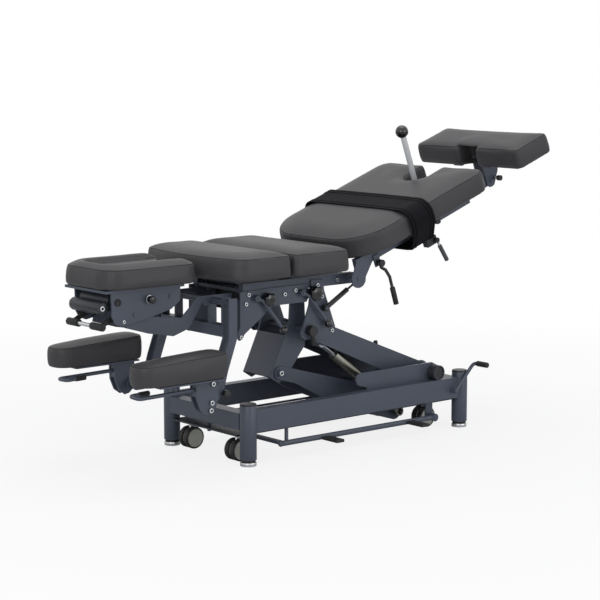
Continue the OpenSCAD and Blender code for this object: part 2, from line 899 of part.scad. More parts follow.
module armrest_ears() {
    ear = [[-776, 336], [-690, 336], [-684, 300], [-683, 267], [-692, 235], [-712, 218], [-731, 214],
        [-756, 232], [-773, 272]];
    color("#3f4654") deck() {
        translate([-950, 205, 334]) cube([270, 94, 6]);
        plate(ear, 225, 231);
        plate(ear, 256, 262);
        plate([[-772, 280], [-764, 280], [-764, 336], [-772, 336]], 230, 257);
        bar(ear_pivot, 173, 266, 16);
        rod([-766, 243.5, 303], [-968, 243.5, 303], 12);
        translate([-968, 243.5, 303]) sphere(d = 12.6);
        rod([-968, 243.5, 303], [-1036, 243.5, 328], 12);
        translate([-1036, 243.5, 328]) sphere(d = 12.6);
        rod([-1036, 243.5, 328], [-1036, 210, 328], 12);
        translate([-1036, 210, 328]) sphere(d = 12.6);
        rod([-1036, 210, 328], [-952, 210, 320], 12);
        rod([-1024, 210, 326.9], [-955, 210, 320.3], 18);
    }
}

module armrest_cushion_front() {
    mirror([0, 1, 0]) armrest_cushion();
}

module armrest_ears_front() {
    mirror([0, 1, 0]) armrest_ears();
}

module armrest_cushion_rear() {
    armrest_cushion();
}

module armrest_ears_rear() {
    armrest_ears();
}

// Base fittings.
module foot_bar_side() {
    y = 236;
    difference() {
        union() {
            bar([373, 56], 224, 248, 30);
            rod([373, y, 56], [-380, y, 60], 20);
        }
        bar([373, 56], 220, 255, 12 + 2 * fit);
    }
    translate([-382, y, 60]) sphere(d = 22);
    rod([-350, 228, 60], [-350, 228, 152], 14);
    for (x = [-185, 237]) {
        translate([x - 17, y, 54]) cube([34, 98, 8]);
    }
}

module foot_bar() {
    color("#2a2d33") placed() {
        both() foot_bar_side();
        bar([-370, 60], -241, 241, 18);
    }
}

module castor_crank() {
    shaft_at = [464, 151];
    elbow = [560, 249];
    color("#33363d") placed() {
        bar(shaft_at, -262, -196, 20);
        plate([shaft_at + [-8, 9], elbow + [-8, 9], elbow + [9, -8], shaft_at + [9, -8]], -272, -260);
        bar(shaft_at, -272, -260, 30);
        bar(elbow, -272, -260, 26);
        bar(elbow, -338, -272, 24);
    }
}

module castor_carriage() {
    color("#2a2d33") placed() {
        difference() {
            union() {
                translate([-546, -191, 100]) cube([92, 382, 6]);
                translate([404, -191, 100]) cube([142, 382, 6]);
                both() translate([-500, 179, 100]) cube([950, 12, 6]);
            }
            for (x = [-leg_x, leg_x]) {
                translate([x, 0, 95]) cylinder(h = 20, d = 14 + 2 * fit);
            }
        }
        for (i = [0:3]) {
            translate([castor_x[i], castor_side[i] * castor_y, 83]) cylinder(h = 18, d = 16);
        }
    }
}

module castor_fork(i) {
    color("#1c1e22") placed() translate([castor_x[i], castor_side[i] * castor_y, 0]) {
        difference() {
            union() {
                translate([0, 0, 84]) cylinder(h = 15, d = 44);
                plate([[-20, 90], [20, 90], [8, 62], [-6, 40], [-30, 40], [-30, 60]], -4, 4);
                bar([-trail, axle_z], -4, 4, 24);
            }
            translate([0, 0, 80]) cylinder(h = 30, d = 16 + 2 * fit);
        }
        bar([-trail, axle_z], -29, 29, 10);
    }
}

module castor_wheels(i) {
    color("#c9ccd1") placed() translate([castor_x[i], castor_side[i] * castor_y, 0]) both()
        ring([-trail, axle_z], 6, 26, wheel_d, 10 + 2 * fit);
}

side_rails();
cross_rails();
legs();
leg_caps();
leg_feet();
lift_brackets();
lift_shafts();
upper_arm();
lower_arm();
actuator_rod();
actuator_body();
lift_link();
link_plates();
hose_elbow();
top_rails();
drop_brackets();
armrest_beam();
control_box();
head_carrier();
frame_bolts();
head_plates();
head_cushion();
head_pad_bar();
head_knob();
head_handle();
chest_cushion();
chest_board();
chest_lever();
chest_knob();
lumbar_cushion();
lumbar_board();
lumbar_lever();
lumbar_knob();
leg_rails();
leg_cushion();
leg_strap();
strap_buckle();
strap_lever();
flexion_stick();
release_lever();
strut_tubes();
strut_rods();
foot_cushion();
foot_bracket();
foot_plunger();
armrest_cushion_front();
armrest_ears_front();
armrest_cushion_rear();
armrest_ears_rear();
foot_bar();
castor_crank();
castor_carriage();
castor_fork(0);  // castor_fork_1
castor_wheels(0);  // castor_wheels_1
castor_fork(1);  // castor_fork_2
castor_wheels(1);  // castor_wheels_2
castor_fork(2);  // castor_fork_3
castor_wheels(2);  // castor_wheels_3
castor_fork(3);  // castor_fork_4
castor_wheels(3);  // castor_wheels_4
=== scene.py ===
# %% [markdown]
# # A chiropractic table, dressed in Blender
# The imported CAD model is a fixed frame: it has every steel part, pin and lever at its true size.
# This lesson adds what the frame lacks: stuffed cushions, woven strap, knobs, grips and castors,
# and a finish for every surface. It begins by loading the frame and measuring it.

import json
import math

import numpy as np

import bpy
from mathutils import Matrix, Vector
from mathutils.bvhtree import BVHTree


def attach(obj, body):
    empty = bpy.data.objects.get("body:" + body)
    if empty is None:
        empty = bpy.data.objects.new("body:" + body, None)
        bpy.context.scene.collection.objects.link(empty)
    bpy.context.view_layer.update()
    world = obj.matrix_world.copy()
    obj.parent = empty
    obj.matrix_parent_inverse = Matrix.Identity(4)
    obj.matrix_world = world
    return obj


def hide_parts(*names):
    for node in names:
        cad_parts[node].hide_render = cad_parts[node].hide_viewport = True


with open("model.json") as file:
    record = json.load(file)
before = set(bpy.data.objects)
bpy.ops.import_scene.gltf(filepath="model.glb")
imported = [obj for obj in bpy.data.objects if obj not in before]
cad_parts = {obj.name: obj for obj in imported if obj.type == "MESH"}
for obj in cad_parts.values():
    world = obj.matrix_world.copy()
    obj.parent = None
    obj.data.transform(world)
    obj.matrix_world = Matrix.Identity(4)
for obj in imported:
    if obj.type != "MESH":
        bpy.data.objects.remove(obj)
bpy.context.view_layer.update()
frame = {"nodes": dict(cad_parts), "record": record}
SHIFT = 0.057  # how far along X the drawings' middle lies from the origin
SLOPE = math.radians(20.3)  # of the leg section at rest
HINGE_X, HINGE_Z = 6, 617  # the leg section's hinge, in millimetres
print("frame loaded:", len(frame["nodes"]), "nodes")

# %% [markdown]
# The table stands in its own coordinates, in metres, with the floor at z 0. Drawings of it were made in
# millimetres from the middle of the base, so one helper turns such a point into a Blender point.
# The leg section slopes, so a second helper measures along and square to that slope from its hinge.

# %% Points
def at(x, y, z):
    return Vector((x / 1000 + SHIFT, y / 1000, z / 1000))


def on_leg(u, y, v):
    c, s = math.cos(SLOPE), math.sin(SLOPE)
    return at(HINGE_X + u * c - v * s, y, HINGE_Z + u * s + v * c)


print("leg hinge at", [round(c, 3) for c in on_leg(0, 0, 0)])

# %% [markdown]
# The photograph was taken with a long lens from the front left, a little above the seat. The camera's
# place comes from the lines of the legs and rails. It is made first, so every later piece can be judged
# through it.

# %% Camera
LENS = 111.47  # millimetres, on a sensor 36 mm wide
CAMERA_PLACE = (-4505.2, -5224.2, 1491.2)
LOOKS_DOWN, TURNED = 8.046, -40.178  # degrees


def make_camera():
    data = bpy.data.cameras.new("camera")
    data.sensor_width = 36
    data.lens = LENS
    camera = bpy.data.objects.new("camera", data)
    bpy.context.scene.collection.objects.link(camera)
    camera.location = at(*CAMERA_PLACE)
    camera.rotation_euler = (math.radians(90 - LOOKS_DOWN), 0, math.radians(TURNED))
    bpy.context.scene.camera = camera
    return camera


camera = make_camera()
print("camera at", [round(c, 2) for c in camera.location])

# %% [markdown]
# Colours are picked as on a screen, in hex. Blender's shaders want linear light, so one function turns
# the one into the other. A second adds a node, sets its sockets and joins its links in one call. The rest
# lead a pattern to a shader's colour, roughness or bump.

# %% Colour and node helpers
def linear(code):
    parts = [int(code[i : i + 2], 16) / 255 for i in (1, 3, 5)]
    return tuple(p / 12.92 if p <= 0.04045 else ((p + 0.055) / 1.055) ** 2.4 for p in parts) + (1,)


def add_node(tree, kind, sockets=None, links=None, **settings):
    made = tree.nodes.new(kind)
    for name, value in settings.items():
        setattr(made, name, value)
    for name, value in (sockets or {}).items():
        made.inputs[name].default_value = value
    for name, (source, output) in (links or {}).items():
        tree.links.new(source.outputs[output], made.inputs[name])
    return made


def start_material(name, **sockets):
    """A new material with these shader sockets set, where an underscore stands for a space."""
    material = bpy.data.materials.new(name)
    material.use_nodes = True
    tree = material.node_tree
    shader = tree.nodes["Principled BSDF"]
    for socket, value in sockets.items():
        shader.inputs[socket.replace("_", " ")].default_value = value
    return material, tree, shader


COLOUR_A, COLOUR_B, MIXED = 6, 7, 2  # a Mix node's colour sockets and its colour output
FROM_LEAST, FROM_MOST, TO_LEAST, TO_MOST = 1, 2, 3, 4  # a Map Range node's sockets


def noise(tree, place, scale, detail, output="Object"):
    """A cloud pattern whose lumps are about 1/scale of a metre wide."""
    return add_node(
        tree, "ShaderNodeTexNoise", {"Scale": scale, "Detail": detail}, {"Vector": (place, output)}
    )


def vary_colour(tree, shader, first, second, source, output="Fac"):
    tone = add_node(
        tree, "ShaderNodeMix", {COLOUR_A: first, COLOUR_B: second}, {0: (source, output)}, data_type="RGBA"
    )
    tree.links.new(tone.outputs[MIXED], shader.inputs["Base Color"])


def vary_roughness(tree, shader, least, most, source):
    gloss = add_node(tree, "ShaderNodeMapRange", {TO_LEAST: least, TO_MOST: most}, {0: (source, "Fac")})
    tree.links.new(gloss.outputs[0], shader.inputs["Roughness"])


def add_bump(tree, shader, strength, distance, source, output="Fac"):
    bump = add_node(
        tree, "ShaderNodeBump", {"Strength": strength, "Distance": distance}, {"Height": (source, output)}
    )
    tree.links.new(bump.outputs[0], shader.inputs["Normal"])


print("slate in linear light:", [round(c, 3) for c in linear("#3f4654")])

# %% [markdown]
# ## The studio
# A white studio is a pale floor under broad soft lamps. The floor and the world show the camera plain
# white, as the photograph does, but the floor keeps part of its shading, so the object's shadow stays.
# Further out the floor fades to plain white, so that no horizon shows.

# %% Floor, world and lamps
FLOOR_SIZE = 80
FLOOR_DROP = 0.0005  # keeps the floor clear of the feet's undersides
FADE_FROM, FADE_TO = 0.9, 3.2  # metres from the table's middle
WHITE_NEAR, WHITE_FAR = 0.84, 1.0  # how much plain white covers the floor's shading


def make_floor():
    bpy.ops.mesh.primitive_plane_add(size=FLOOR_SIZE, location=(0, 0, -FLOOR_DROP))
    floor = bpy.context.object
    floor.name = "studio_floor"
    material, tree, shader = start_material("pale studio floor", Roughness=0.9)
    shader.inputs["Base Color"].default_value = linear("#f0f0f0")
    path = add_node(tree, "ShaderNodeLightPath")
    glow = add_node(tree, "ShaderNodeEmission", {"Color": linear("#ffffff"), "Strength": 1})
    place = add_node(tree, "ShaderNodeTexCoord")
    far = add_node(tree, "ShaderNodeVectorMath", None, {0: (place, "Object")}, operation="LENGTH")
    span = {FROM_LEAST: FADE_FROM, FROM_MOST: FADE_TO, TO_LEAST: WHITE_NEAR, TO_MOST: WHITE_FAR}
    fade = add_node(tree, "ShaderNodeMapRange", span, {0: (far, "Value")})
    seen = add_node(
        tree, "ShaderNodeMath", None, {0: (path, "Is Camera Ray"), 1: (fade, 0)}, operation="MULTIPLY"
    )
    mix = add_node(tree, "ShaderNodeMixShader", None, {"Fac": (seen, 0), 1: (shader, 0), 2: (glow, 0)})
    tree.links.new(mix.outputs[0], tree.nodes["Material Output"].inputs["Surface"])
    floor.data.materials.append(material)


def make_world():
    world = bpy.data.worlds.new("studio")
    bpy.context.scene.world = world
    world.use_nodes = True
    tree = world.node_tree
    path = add_node(tree, "ShaderNodeLightPath")
    soft = tree.nodes["Background"]
    soft.inputs["Color"].default_value = linear("#f4f6fa")
    soft.inputs["Strength"].default_value = 0.46
    plain = add_node(tree, "ShaderNodeBackground", {"Color": (1, 1, 1, 1), "Strength": 1})
    seen = add_node(
        tree, "ShaderNodeMath", None,
        {0: (path, "Is Camera Ray"), 1: (path, "Is Glossy Ray")}, operation="MAXIMUM",
    )
    mix = add_node(tree, "ShaderNodeMixShader", None, {"Fac": (seen, 0), 1: (soft, 0), 2: (plain, 0)})
    tree.links.new(mix.outputs[0], tree.nodes["World Output"].inputs["Surface"])


def add_lamp(name, place, target, size, watts):
    data = bpy.data.lights.new(name, "AREA")
    data.size = size
    data.energy = watts
    lamp = bpy.data.objects.new(name, data)
    bpy.context.scene.collection.objects.link(lamp)
    lamp.location = place
    lamp.rotation_euler = (Vector(target) - Vector(place)).to_track_quat("-Z", "Y").to_euler()


make_floor()
make_world()
add_lamp("overhead softbox", (0.4, 0.2, 4.2), (0, 0, 0.5), 3.2, 50)
add_lamp("left softbox", (-4.2, -2.2, 2.2), (0, 0, 0.6), 2.4, 40)
add_lamp("front fill", (1.2, -5.0, 1.6), (0, 0, 0.5), 2.6, 40)
bpy.context.scene.view_settings.view_transform = "Standard"

# %% [markdown]
# ## Finishes
# Powder coat is paint sprayed on as dry powder and baked. It melts into a tough satin skin with a faint
# dimpled surface, called orange peel, about 2 mm from dimple to dimple. Its tone and gloss drift a little
# from place to place. Noise on Object coordinates gives all three, so each pattern stays with its part.

# %% Powder-coated steel
PEEL = 420  # dimples per metre, which puts them about 2.4 mm apart


def powder_coat(name, colour, light, roughness=0.4):
    material, tree, shader = start_material(name, Roughness=roughness, Specular_IOR_Level=0.45)
    place = add_node(tree, "ShaderNodeTexCoord")
    vary_colour(tree, shader, linear(colour), linear(light), noise(tree, place, 5, 4))
    vary_roughness(tree, shader, roughness - 0.07, roughness + 0.09, noise(tree, place, 40, 5))
    add_bump(tree, shader, 0.18, 0.0004, noise(tree, place, PEEL, 1))
    return material


slate_coat = powder_coat("slate powder-coated steel", "#454b58", "#4f5563")
charcoal_coat = powder_coat("charcoal powder-coated steel", "#25282e", "#2f333b", 0.45)
print("powder coats:", slate_coat.name, charcoal_coat.name)

# %% [markdown]
# Zinc plate on bolts and forks is bright but slightly cloudy, with tiny crystals. Ground rods and shafts
# are turned, so their light is drawn out round them in fine lines, and so is that of anodised aluminium.
# One noise serves for all of them, because stretching it along one axis turns crystals into lines.

# %% Plated, ground and anodised metal
def bare_metal(name, colour, roughness, grain, stretch):
    material, tree, shader = start_material(name, Metallic=1.0, Roughness=roughness)
    shader.inputs["Base Color"].default_value = linear(colour)
    place = add_node(tree, "ShaderNodeTexCoord")
    turned = add_node(tree, "ShaderNodeMapping", {"Scale": stretch}, {"Vector": (place, "Object")})
    lines = noise(tree, turned, grain, 4, 0)
    vary_roughness(tree, shader, roughness - 0.08, roughness + 0.12, lines)
    add_bump(tree, shader, 0.08, 0.0002, lines)
    return material


# crystals of the zinc plate read at about 4 mm; the lathe lines of a shaft at about 1 mm
burnished_tube = bare_metal("burnished actuator tube", "#807f77", 0.33, 250, (1, 1, 1))
zinc_plate = bare_metal("zinc-plated steel", "#d2d4d6", 0.28, 250, (1, 1, 1))
ground_steel = bare_metal("ground steel shaft", "#a9adb2", 0.2, 90, (1, 12, 1))
satin_aluminium = bare_metal("satin anodised aluminium", "#bfc3c8", 0.34, 60, (1, 14, 1))
print("bare metals:", zinc_plate.name, ground_steel.name, satin_aluminium.name)

# %% [markdown]
# Plastics come from a steel mould whose spark-eroded face leaves a fine even grain. A nylon knob is
# nearly matt, a phenolic ball is polished after moulding, and a grip is a soft matt rubber.

# %% Moulded plastics and rubber
def moulded(name, colour, roughness, grain=900, depth=0.15, coat=0.0):
    material, tree, shader = start_material(name, Roughness=roughness, IOR=1.49, Coat_Weight=coat)
    place = add_node(tree, "ShaderNodeTexCoord")
    paler = [c * 1.35 + 0.004 for c in linear(colour)[:3]] + [1]
    vary_colour(tree, shader, linear(colour), paler, noise(tree, place, 30, 3))
    add_bump(tree, shader, depth, 0.0002, noise(tree, place, grain, 2))
    return material


# spark grain of 1 mm and rubber grain of 1.5 mm: both drawn about three times as coarse as real
black_nylon = moulded("black moulded nylon", "#17181b", 0.42)
black_phenolic = moulded("polished black phenolic", "#0b0b0d", 0.12, 300, 0.02, 0.4)
soft_rubber = moulded("matt black grip rubber", "#141517", 0.68, 650, 0.35)
white_nylon = moulded("glossy white moulded nylon", "#d9dbdd", 0.18, 500, 0.05, 0.3)
sleeve_rubber = moulded("dark grey grip sleeve", "#3d3f43", 0.55, 650, 0.3)
castor_tyre = moulded("black castor tyre", "#1b1b1c", 0.6, 700, 0.25)
castor_disc = moulded("grey castor disc", "#a3a49b", 0.42, 600, 0.1)
print("plastics:", [m.name for m in bpy.data.materials if "nylon" in m.name])

# %% [markdown]
# Upholstery vinyl is a soft plastic skin on cloth, embossed with a leather grain of small uneven cells.
# A Voronoi pattern gives the cells, and a broad noise varies the tone where the skin is stretched.
# The real cells are about 1 mm. They are drawn at 2.5 mm, since finer ones would not show.

# %% Upholstery vinyl and webbing
GRAIN_CELLS = 400  # per metre
THREADS = 53  # the Wave texture's scale that puts threads 3 mm apart, so that they just show


def upholstery_vinyl():
    material, tree, shader = start_material(
        "embossed upholstery vinyl", Roughness=0.45, Specular_IOR_Level=0.28
    )
    place = add_node(tree, "ShaderNodeTexCoord")
    cloud = noise(tree, place, 7, 5)
    vary_colour(tree, shader, linear("#3c3b3d"), linear("#464547"), cloud)
    cells = add_node(tree, "ShaderNodeTexVoronoi", {"Scale": GRAIN_CELLS}, {"Vector": (place, "Object")})
    add_bump(tree, shader, 0.25, 0.0004, cells, "Distance")
    vary_roughness(tree, shader, 0.4, 0.52, cloud)
    return material


def woven_webbing(name, colour, light):
    material, tree, shader = start_material(name, Roughness=0.75, Specular_IOR_Level=0.12)
    place = add_node(tree, "ShaderNodeTexCoord")
    warp, weft = (
        add_node(
            tree, "ShaderNodeTexWave", {"Scale": THREADS}, {"Vector": (place, "Object")}, bands_direction=way
        )
        for way in "YX"
    )
    cross = add_node(tree, "ShaderNodeMath", None, {0: (warp, "Fac"), 1: (weft, "Fac")}, operation="ADD")
    vary_colour(tree, shader, linear(colour), linear(light), cross, 0)
    add_bump(tree, shader, 0.4, 0.0006, cross, 0)
    return material


vinyl = upholstery_vinyl()
webbing = woven_webbing("black woven webbing", "#08080b", "#121117")
binding = woven_webbing("bound webbing edge", "#060608", "#0d0c10")
# painted shade: a darker vinyl that stands for the shadow in each seam's fold
seam_painted_shade = moulded("shadowed seam of the vinyl", "#1d1d1f", 0.7, 300, 0.1)
print("soft goods:", vinyl.name, "and", webbing.name)

# %% [markdown]
# ## Dressing the steel
# Each steel part of the frame is already the right shape, so it only needs its finish and softer edges.
# Cut and folded steel never has a knife edge, so a bevel of about 1 mm lets the light catch every corner.
# The frame's triangles are loose, so a Weld modifier joins them before the Bevel, and neither changes
# the part's own mesh.

# %% Finishes for the frame's parts
FINISH = {
    "frame_paint": slate_coat,
    "dark_paint": charcoal_coat,
    "black_plastic": black_nylon,
    "zinc": zinc_plate,
    "aluminium": satin_aluminium,
    "upholstery": vinyl,
    "webbing": webbing,
    "white_plastic": white_nylon,
    "wheel_grey": castor_disc,
}


EDGE = 0.0009  # how far in from each edge of the steel its bevel begins
SHARP = math.radians(38)  # only edges that turn more than this get a bevel
JOINED = 0.00002  # corners nearer than this are one


def soften(part):
    weld = part.modifiers.new("join", "WELD")
    weld.merge_threshold = JOINED
    bevel = part.modifiers.new("soft edges", "BEVEL")
    bevel.width = EDGE
    bevel.segments = 2
    bevel.limit_method = "ANGLE"
    bevel.angle_limit = SHARP
    bevel.harden_normals = True


def dress_frame():
    for entry in frame["record"]["subparts"]:
        part = frame["nodes"][entry["node"]]
        part.data.materials.clear()
        part.data.materials.append(FINISH[entry["material_slot"]])
        if "cushion" not in entry["node"] and entry["node"] != "leg_strap":
            soften(part)


dress_frame()
for node in ("lift_shafts", "actuator_rod"):
    frame["nodes"][node].data.materials[0] = ground_steel
frame["nodes"]["actuator_body"].data.materials[0] = burnished_tube
frame["nodes"]["strut_rods"].data.materials[0] = charcoal_coat
for number in range(1, 5):
    frame["nodes"]["castor_fork_%d" % number].data.materials[0] = zinc_plate
print("dressed", len(frame["nodes"]), "parts of the frame")

# %% [markdown]
# Some parts carry two finishes, such as the white stick with its black ball. The faces of the second finish
# are found by where their middles lie, in the drawings' millimetres, so the part itself is not touched.

# %% Second finishes
def on_slope(x, z):
    c, s = math.cos(SLOPE), math.sin(SLOPE)
    return (x - HINGE_X) * c + (z - HINGE_Z) * s, (z - HINGE_Z) * c - (x - HINGE_X) * s


def second_finish(node, material, where):
    part = frame["nodes"][node]
    part.data.materials.append(material)
    count = 0
    for face in part.data.polygons:
        middle = part.matrix_world @ face.center
        if where((middle.x - SHIFT) * 1000, middle.y * 1000, middle.z * 1000):
            face.material_index = len(part.data.materials) - 1
            count += 1
    return count


def near(x, z, centre, reach):
    return math.hypot(x - centre[0], z - centre[1]) < reach


print(
    "faces with a second finish:",
    second_finish("flexion_stick", black_phenolic, lambda x, y, z: near(*on_slope(x, z), (566, 340), 25.5)),
    second_finish("leg_feet", soft_rubber, lambda x, y, z: 13.2 < z < 24),
    second_finish("head_handle", soft_rubber, lambda x, y, z: abs(y) > 39.5),
    second_finish("head_pad_bar", charcoal_coat, lambda x, y, z: near(x, z, (-984, 609), 28.5)),
    second_finish("release_lever", soft_rubber, lambda x, y, z: on_slope(x, z)[1] < -96),
    second_finish("lift_shafts", black_nylon, lambda x, y, z: abs(y) > 238 or near(x, z, (308, 69.4), 30)),
    second_finish(
        "lift_brackets", charcoal_coat, lambda x, y, z: abs(y) > 212 and near(x, z, (395, 226), 30)
    ),
    second_finish("foot_plunger", black_nylon, lambda x, y, z: y < -49),
    second_finish("leg_rails", black_nylon, lambda x, y, z: y < -217),
    second_finish("strap_lever", black_nylon, lambda x, y, z: near(*on_slope(x, z), (365, -4), 11)),
)
frame["nodes"]["head_handle"].data.materials[0] = zinc_plate

# %% [markdown]
# Every piece from here on is a mesh of its own that stands beside the frame's part or takes its place. A few
# helpers come first. They copy a part of the frame, pick faces, round edges, and give a piece its finish.

# %% Helpers for modelling
def deselect():
    if bpy.context.object and bpy.context.object.mode != "OBJECT":
        bpy.ops.object.mode_set(mode="OBJECT")
    bpy.ops.object.select_all(action="DESELECT")


def work_on(piece):
    deselect()
    piece.select_set(True)
    bpy.context.view_layer.objects.active = piece


SAME_POINT = 0.00001


def copy_of_node(node, name):
    """A copy of the frame's part, with its loose triangles joined."""
    piece = bpy.data.objects.new(name, frame["nodes"][node].data.copy())
    bpy.context.scene.collection.objects.link(piece)
    work_on(piece)
    bpy.ops.mesh.customdata_custom_splitnormals_clear()
    bpy.ops.object.mode_set(mode="EDIT")
    bpy.ops.mesh.select_all(action="SELECT")
    bpy.ops.mesh.remove_doubles(threshold=SAME_POINT)
    bpy.ops.object.mode_set(mode="OBJECT")
    return piece


def finish_piece(piece, material, body, angle=40, second=None, where=None):
    """Puts on one finish, a second one where a face passes the test, and attaches the piece to its body."""
    work_on(piece)
    bpy.ops.object.transform_apply(location=True, rotation=True, scale=True)
    piece.data.materials.clear()
    piece.data.materials.append(material)
    if second:
        piece.data.materials.append(second)
        for face in piece.data.polygons:
            face.material_index = int(where(face))
    bpy.ops.object.shade_smooth_by_angle(angle=math.radians(angle))
    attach(piece, body)
    return piece


def pick_faces(piece, test):
    """Leaves the piece in edit mode with only the faces that pass the test selected."""
    work_on(piece)
    bpy.ops.object.mode_set(mode="EDIT")
    bpy.ops.mesh.select_mode(type="FACE")
    bpy.ops.mesh.select_all(action="DESELECT")
    bpy.ops.object.mode_set(mode="OBJECT")
    for face in piece.data.polygons:
        face.select = test(face)
    bpy.ops.object.mode_set(mode="EDIT")


def round_edges(piece, width, segments=3):
    work_on(piece)
    bevel = piece.modifiers.new("rounded", "BEVEL")
    bevel.width = width
    bevel.segments = segments
    bevel.limit_method = "ANGLE"
    bevel.angle_limit = SHARP
    bpy.ops.object.modifier_apply(modifier="rounded")


print("helpers ready")

# %% [markdown]
# ## Cushions
# Each cushion is a foam block on a plywood board, under vinyl drawn tight and stapled below. The frame
# holds its plain form. A copy is remeshed into an even grid and blown up a little with cloth simulation,
# which rounds it as pressed foam does, while its underside stays where it is stapled. Each move has a cap
# and is averaged with its neighbours', so that the foam has no wrinkles, and then the top is smoothed.

# %% Stuffing a cushion
SHRINK = 0.003  # a pad starts this much too small, because it swells
MOST_MOVE = 0.006
STAPLED_BELOW = 0.012  # points lower than this above the board are held
CLOTH_STEPS = 20
EVEN_OUT_ROUNDS = 24
RELAX_ROUNDS = 50


def blow_up(piece, up, base):
    """Cloth under pressure, held near the base. Its moves are capped, then evened out between neighbours."""
    fixed = [v.index for v in piece.data.vertices if (v.co - base).dot(up) < STAPLED_BELOW]
    held = piece.vertex_groups.new(name="held")
    held.add(fixed, 1.0, "REPLACE")
    before = [v.co.copy() for v in piece.data.vertices]
    cloth = piece.modifiers.new("cloth", "CLOTH")
    cloth.settings.quality = 4
    cloth.settings.mass = 0.4
    cloth.settings.tension_stiffness = 12
    cloth.settings.compression_stiffness = 12
    cloth.settings.bending_stiffness = 3
    cloth.settings.use_pressure = True
    cloth.settings.uniform_pressure_force = 4
    cloth.settings.vertex_group_mass = "held"
    cloth.settings.effector_weights.gravity = 0
    cloth.point_cache.frame_start = 1
    cloth.point_cache.frame_end = CLOTH_STEPS
    scene = bpy.context.scene
    for step in range(1, CLOTH_STEPS + 1):
        scene.frame_set(step)
    blown = piece.evaluated_get(bpy.context.evaluated_depsgraph_get()).to_mesh()
    push = np.array([vertex.co - old for old, vertex in zip(before, blown.vertices)])
    push *= np.minimum(1, MOST_MOVE / np.maximum(np.linalg.norm(push, axis=1), 1e-9))[:, None]
    piece.modifiers.remove(cloth)
    scene.frame_set(1)
    ends = np.array([edge.vertices[:] for edge in piece.data.edges])
    count = np.bincount(ends.ravel(), minlength=len(push))[:, None]
    for _ in range(EVEN_OUT_ROUNDS):
        total = np.zeros_like(push)
        np.add.at(total, ends[:, 0], push[ends[:, 1]])
        np.add.at(total, ends[:, 1], push[ends[:, 0]])
        push = (push + total / count) / 2
        push[fixed] = 0
    for vertex, old, way in zip(piece.data.vertices, before, push):
        vertex.co = old + Vector(way)


def stuffed(node, name, up, base, voxel):
    piece = copy_of_node(node, name)
    bpy.ops.object.mode_set(mode="EDIT")
    bpy.ops.mesh.select_all(action="SELECT")
    bpy.ops.transform.shrink_fatten(value=-SHRINK)
    bpy.ops.object.mode_set(mode="OBJECT")
    piece.data.remesh_voxel_size = voxel
    bpy.ops.object.voxel_remesh()
    blow_up(piece, up, base)
    subdivide = piece.modifiers.new("finer", "SUBSURF")
    subdivide.levels = subdivide.render_levels = 1
    work_on(piece)
    bpy.ops.object.modifier_apply(modifier="finer")
    return piece


def relax_top(piece, up, base, above):
    """Smooths the top of a pad inside its seam, as vinyl drawn over foam has no creases."""
    work_on(piece)
    bpy.ops.object.mode_set(mode="EDIT")
    bpy.ops.mesh.select_mode(type="VERT")
    bpy.ops.mesh.select_all(action="DESELECT")
    bpy.ops.object.mode_set(mode="OBJECT")
    for vertex in piece.data.vertices:
        vertex.select = (vertex.co - base).dot(up) > above
    bpy.ops.object.mode_set(mode="EDIT")
    bpy.ops.mesh.vertices_smooth(factor=0.5, repeat=RELAX_ROUNDS)
    bpy.ops.object.mode_set(mode="OBJECT")


UP = Vector((0, 0, 1))
LEG_UP = on_leg(0, 0, 1000) - on_leg(0, 0, 0)
LEG_UP.normalize()
print("leg section's own up:", [round(c, 3) for c in LEG_UP])

# %% [markdown]
# One seam runs round each cushion where its side band is sewn to the top. It pulls the vinyl into the foam,
# so the mesh is cut by planes at the seam and just beside it, and the points on it are then moved inwards.
# The fold is too narrow to catch light, so the faces next to it get a darker vinyl of their own: painted
# shade for the fold.

# %% Sewn seams
SEAM_DEPTH = 0.0016
SEAM_HALF = 0.0013  # half the width of the fold
ON_SEAM = SEAM_HALF * 0.3
SIDEWAYS = 0.15  # a face with less of its direction sideways than this has no seam
TOP_STARTS = 0.0025  # how far above the seam the smoothed top begins


def sew(piece, up, base, height):
    work_on(piece)
    bpy.ops.object.mode_set(mode="EDIT")
    for offset in (-SEAM_HALF, 0, SEAM_HALF):
        bpy.ops.mesh.select_all(action="SELECT")
        bpy.ops.mesh.bisect(plane_co=base + up * (height + offset), plane_no=up)
    bpy.ops.object.mode_set(mode="OBJECT")
    for vertex in piece.data.vertices:
        level = (vertex.co - base).dot(up) - height
        flat = vertex.normal - up * vertex.normal.dot(up)
        if abs(level) < ON_SEAM and flat.length > SIDEWAYS:
            vertex.co -= vertex.normal * SEAM_DEPTH

    def seamed(face):
        level = (face.center - base).dot(up) - height
        return abs(level) < SEAM_HALF and (face.normal - up * face.normal.dot(up)).length > SIDEWAYS

    return seamed


def cushion(node, name, body, up, base, height, voxel, tilt=None, trough=None):
    piece = stuffed(node, name, up, base, voxel)
    relax_top(piece, tilt or up, base, height + TOP_STARTS)
    if trough:
        trough(piece)
    seamed = sew(piece, tilt or up, base, height)
    # the faces beside the seam get the darker vinyl, painted shade of the fold
    finish_piece(piece, vinyl, body, 60, seam_painted_shade, seamed)
    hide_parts(node)
    print(name, len(piece.data.polygons), "faces")
    return piece


print("a seam is sewn", SEAM_DEPTH * 1000, "mm deep")

# %% [markdown]
# The headpiece differs from the rest: its pad has a hollow for the face, which is pressed into its top
# before the seam is sewn. The hollow is flat in the middle, and an S-shaped blend leads up to its border.

# %% Seat and head cushions
TROUGH_END_X, TROUGH_HALF = -968, 54  # where the hollow's straight part ends, in millimetres
TROUGH_BORDER, TROUGH_FADE = 44, 20  # from there to its border, and how much of that slopes
TROUGH_DEPTH = 0.013
HEAD_TOP_STARTS = 714  # only points higher than this are moved


